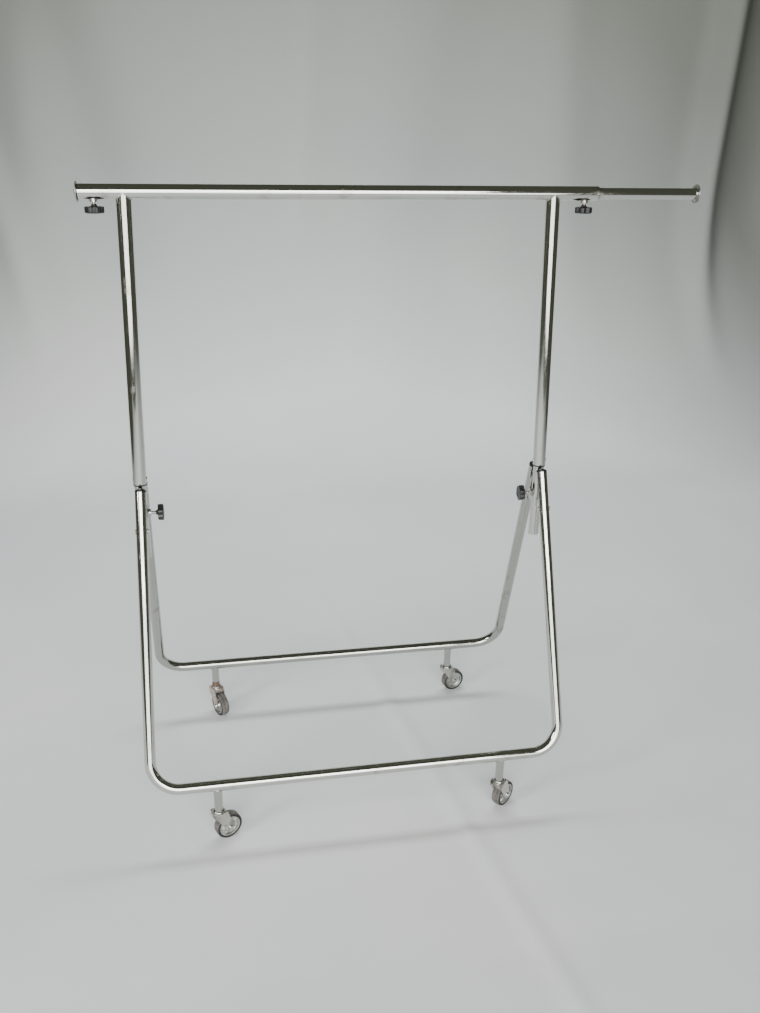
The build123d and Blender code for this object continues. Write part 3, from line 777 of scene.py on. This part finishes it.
def cloth_material():
    """Pale cloth with cloudy tones, and painted shade: darker and greener up the wall and darker far from the
    rack, where the light falls off.
    """
    material, tree, shader, coords = start_material("backdrop_cloth", 0.0)
    parts = tree.nodes.new("ShaderNodeSeparateXYZ")
    tree.links.new(coords, parts.inputs[0])
    tone = ramp(tree, noise(tree, coords, 0.9, 3), 0.3, 0.7, 0.0, 1.0)
    pale = mix_colour(tree, tone, (0.675, 0.71, 0.735), (0.745, 0.76, 0.76))
    # painted shade: the cloth darkens up the wall, where the light falls off with height
    height = ramp(tree, parts.outputs["Z"], 0.1, 2.9, 0.0, 0.92)
    shaded = mix_colour(tree, height, pale, (0.20, 0.235, 0.21))
    # painted shade: darker still far from the rack, where the light falls off
    middle_out = tree.nodes.new("ShaderNodeVectorMath")
    middle_out.operation = "DISTANCE"
    middle_out.inputs[1].default_value = (0.3, 0.3, 0.0)
    tree.links.new(coords, middle_out.inputs[0])
    away = ramp(tree, middle_out.outputs["Value"], 2.6, 4.4, 0.0, 0.75)
    tree.links.new(mix_colour(tree, away, shaded, (0.10, 0.105, 0.08)), shader.inputs["Base Color"])
    shader.inputs["Roughness"].default_value = 0.85
    weave = bump(tree, noise(tree, coords, 700, 2), 0.08, 0.0005)
    soft = bump(tree, noise(tree, coords, 3.0, 3), 0.25, 0.02, weave)
    tree.links.new(soft, shader.inputs["Normal"])
    return material


WALL_Y = 3.5
SWEEP_R = 1.5
FLOOR_LEFT, FLOOR_RIGHT, FLOOR_FRONT = -3.4, 3.8, -3.6
WALL_TOP = 3.4
CREASE_START, CREASE_END = -1.6, 1.2  # the ironed crease along the floor
CREASE_HEIGHT, CREASE_WIDTH = 0.006, 0.022
# hanging folds: place across, width, depth and how far each drifts sideways per metre of height
FOLDS = [(-2.0, 0.10, 0.16, 0.05), (-1.65, 0.18, -0.10, 0.10), (-1.1, 0.10, 0.06, -0.30),
         (-0.62, 0.20, -0.06, -0.22), (0.1, 0.14, 0.035, 0.08), (0.95, 0.30, -0.05, 0.15),
         (1.9, 0.18, 0.04, -0.06), (2.7, 0.10, 0.14, 0.05), (3.2, 0.3, -0.12, 0.0)]


def cloth_point(u, v):
    """u runs across, v along the floor and then up the wall."""
    bend = SWEEP_R * math.pi / 2
    flat = WALL_Y - SWEEP_R
    if v < flat:
        y, z = v, 0.0
    elif v < flat + bend:
        a = (v - flat) / SWEEP_R
        y, z = flat + SWEEP_R * math.sin(a), SWEEP_R * (1 - math.cos(a))
    else:
        y, z = WALL_Y, SWEEP_R + v - flat - bend
    rise = smooth_step((z - 0.05) / 1.4)
    for place, width, depth, drift in FOLDS:
        y -= rise * depth * math.exp(-((u - place - drift * z) / width) ** 2)
    if v < CREASE_END:
        crease_x = 0.16 + (0.25 - y) * 0.17
        fade = smooth_step((CREASE_END - v) / 0.6) * smooth_step((v - CREASE_START) / 0.6)
        z += CREASE_HEIGHT * fade * math.exp(-((u - crease_x) / CREASE_WIDTH) ** 2)
    return (u, y, z)


def make_backdrop():
    verts, faces = [], []
    across, along = 420, 260
    reach = WALL_Y - FLOOR_FRONT + WALL_TOP - SWEEP_R * (2 - math.pi / 2)
    for j in range(along + 1):
        for i in range(across + 1):
            u = FLOOR_LEFT + (FLOOR_RIGHT - FLOOR_LEFT) * i / across
            verts.append(cloth_point(u, FLOOR_FRONT + reach * j / along))
    for j in range(along):
        for i in range(across):
            a = j * (across + 1) + i
            faces.append((a, a + 1, a + across + 2, a + across + 1))
    cloth = mesh_object("cloth_backdrop", verts, faces, 80)
    cloth.data.materials.append(cloth_material())


make_backdrop()


# ---- light -------------------------------------------------------------------------------------
def soft_light(name, place, aim, size, power, colour, mirrored_in_chrome=True):
    data = bpy.data.lights.new(name, "AREA")
    data.shape = "RECTANGLE"
    data.size, data.size_y = size
    data.energy = power
    data.color = colour
    lamp = bpy.data.objects.new(name, data)
    lamp.location = place
    lamp.rotation_euler = (Vector(aim) - Vector(place)).to_track_quat("-Z", "Y").to_euler()
    lamp.visible_camera = False
    lamp.visible_glossy = mirrored_in_chrome
    bpy.context.scene.collection.objects.link(lamp)


# two broad pale panels in front, one high and one low, are the bands of light along the chrome,
# and the dark room beside them gives its dark edges
soft_light("sky_panel", (-0.6, -4.9, 2.9), (0.0, 0.2, 0.75), (5.0, 2.4), 300, (1.0, 1.0, 0.985))
soft_light("low_panel", (-0.3, -4.9, 0.95), (-0.3, 0.2, 0.95), (5.4, 1.7), 110, (1.0, 1.0, 0.985))
soft_light("window_light", (-3.2, -1.9, 2.3), (0.1, 0.2, 0.4), (0.8, 1.6), 70, (1.0, 0.99, 0.97))
soft_light("cloth_light", (0.4, 1.3, 3.6), (0.4, 3.0, 0.9), (3.0, 1.0), 130, (0.98, 1.0, 1.0), False)

world = bpy.data.worlds.new("room")
bpy.context.scene.world = world
world.use_nodes = True
world.node_tree.nodes["Background"].inputs["Color"].default_value = (0.085, 0.09, 0.068, 1.0)
world.node_tree.nodes["Background"].inputs["Strength"].default_value = 1.0


# ---- camera ------------------------------------------------------------------------------------
YAW, PITCH, ROLL = math.radians(10.507), math.radians(22.209), math.radians(0.855)
CAMERA_PLACE = (-0.3041, -2.0972, 1.6264)
forward = Vector((math.sin(YAW) * math.cos(PITCH), math.cos(YAW) * math.cos(PITCH), -math.sin(PITCH)))
level = Vector((math.cos(YAW), -math.sin(YAW), 0))
upward = level.cross(forward)
right = level * math.cos(ROLL) + upward * math.sin(ROLL)
top = upward * math.cos(ROLL) - level * math.sin(ROLL)
camera_data = bpy.data.cameras.new("camera")
camera_data.sensor_fit = "VERTICAL"
camera_data.sensor_height = 36.0
camera_data.lens = 32.24
camera = bpy.data.objects.new("camera", camera_data)
camera.matrix_world = Matrix.Translation(CAMERA_PLACE) @ Matrix(
    (right, top, -forward)).transposed().to_4x4()
bpy.context.scene.collection.objects.link(camera)
bpy.context.scene.camera = camera
